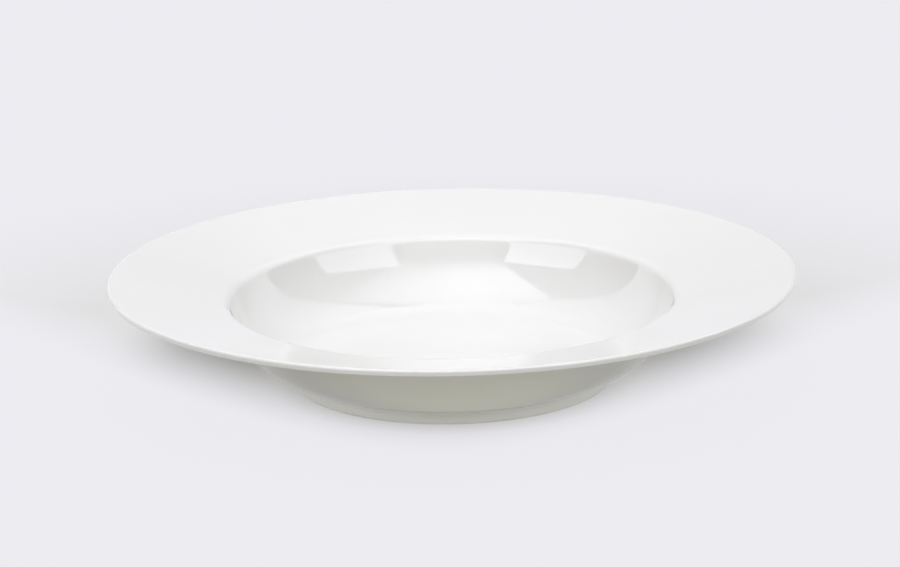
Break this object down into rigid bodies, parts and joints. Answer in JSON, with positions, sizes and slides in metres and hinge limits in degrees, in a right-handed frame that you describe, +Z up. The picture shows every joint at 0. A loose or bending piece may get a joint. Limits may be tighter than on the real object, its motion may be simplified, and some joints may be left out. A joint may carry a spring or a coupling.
{
  "type": "deep plate",
  "caption": "Round glazed porcelain deep plate with a wide rising rim, a rounded well and a bare foot ring, for soup or pasta.",
  "frame": {"origin": "centre of the ring on which the foot stands, on the table", "axes": "+Z up along the plate's axis, out of the well; X and Y are free, because the plate is round"},
  "size_m": [0.28, 0.28, 0.045],
  "materials": {
    "biscuit": "bare fired porcelain, matt",
    "glaze": "clear white gloss glaze"
  },
  "bodies": {
    "root": {"porcelain_body": "biscuit", "glaze_coat": "glaze", "base_glaze": "glaze"}
  },
  "joints": []
}
